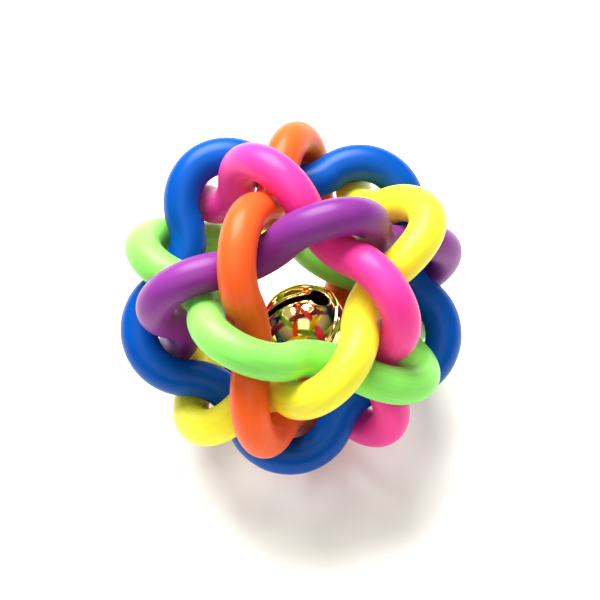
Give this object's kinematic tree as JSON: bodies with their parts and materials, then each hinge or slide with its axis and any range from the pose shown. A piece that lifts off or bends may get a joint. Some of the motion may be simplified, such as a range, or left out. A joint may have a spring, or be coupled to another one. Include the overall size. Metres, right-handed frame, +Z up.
{
  "type": "woven ring ball",
  "caption": "Wavy rubber rings woven over and under one another into an open ball that holds a loose jingle bell, for grasping, tossing and chewing.",
  "frame": {"origin": "centre of the ball's footprint on the surface that it stands on, below the ball's centre", "axes": "+Z up, along a three-fold axis of the weave, so that three lobes meet the surface; +X through a crossing of two strands, at the ball's greatest width; -Y towards the viewer, with the blue ring's axis leaning that way"},
  "size_m": [0.075, 0.071, 0.0716],
  "materials": {
    "blue_rubber": "semi-gloss",
    "orange_rubber": "semi-gloss",
    "green_rubber": "semi-gloss",
    "yellow_rubber": "semi-gloss",
    "pink_rubber": "semi-gloss",
    "purple_rubber": "semi-gloss",
    "bell_brass": "polished",
    "loop_brass": "drawn wire",
    "pellet_steel": "tumbled"
  },
  "bodies": {
    "blue_ring": {"blue_ring": "blue_rubber"},
    "orange_ring": {"orange_ring": "orange_rubber"},
    "green_ring": {"green_ring": "green_rubber"},
    "yellow_ring": {"yellow_ring": "yellow_rubber"},
    "pink_ring": {"pink_ring": "pink_rubber"},
    "purple_ring": {"purple_ring": "purple_rubber"},
    "bell": {"bell_upper_shell": "bell_brass", "bell_lower_shell": "bell_brass", "bell_loop": "loop_brass"},
    "pellet": {"bell_pellet": "pellet_steel"}
  },
  "joints": [
    {"name": "orange_ring_slip", "type": "hinge", "parent": "blue_ring", "child": "orange_ring", "pos_m": [0, 0, 0.03578], "axis": [0.8507, -0.4911, 0.1876], "range_deg": [-1, 1]},
    {"name": "green_ring_slip", "type": "hinge", "parent": "blue_ring", "child": "green_ring", "pos_m": [0, 0, 0.03578], "axis": [0.5257, 0.3035, 0.7947], "range_deg": [-1, 1]},
    {"name": "yellow_ring_slip", "type": "hinge", "parent": "blue_ring", "child": "yellow_ring", "pos_m": [0, 0, 0.03578], "axis": [-0.5257, 0.3035, 0.7947], "range_deg": [-1, 1]},
    {"name": "pink_ring_slip", "type": "hinge", "parent": "blue_ring", "child": "pink_ring", "pos_m": [0, 0, 0.03578], "axis": [-0.8507, -0.4911, 0.1876], "range_deg": [-1, 1]},
    {"name": "purple_ring_slip", "type": "hinge", "parent": "blue_ring", "child": "purple_ring", "pos_m": [0, 0, 0.03578], "axis": [0, -0.9822, -0.1876], "range_deg": [-1, 1]},
    {"name": "bell_bounce", "type": "slide", "parent": "blue_ring", "child": "bell", "axis": [0, 0, 1], "range_m": [0, 0.0225]},
    {"name": "pellet_rattle", "type": "slide", "parent": "bell", "child": "pellet", "axis": [0, 0, 1], "range_m": [0, 0.0116]}
  ]
}
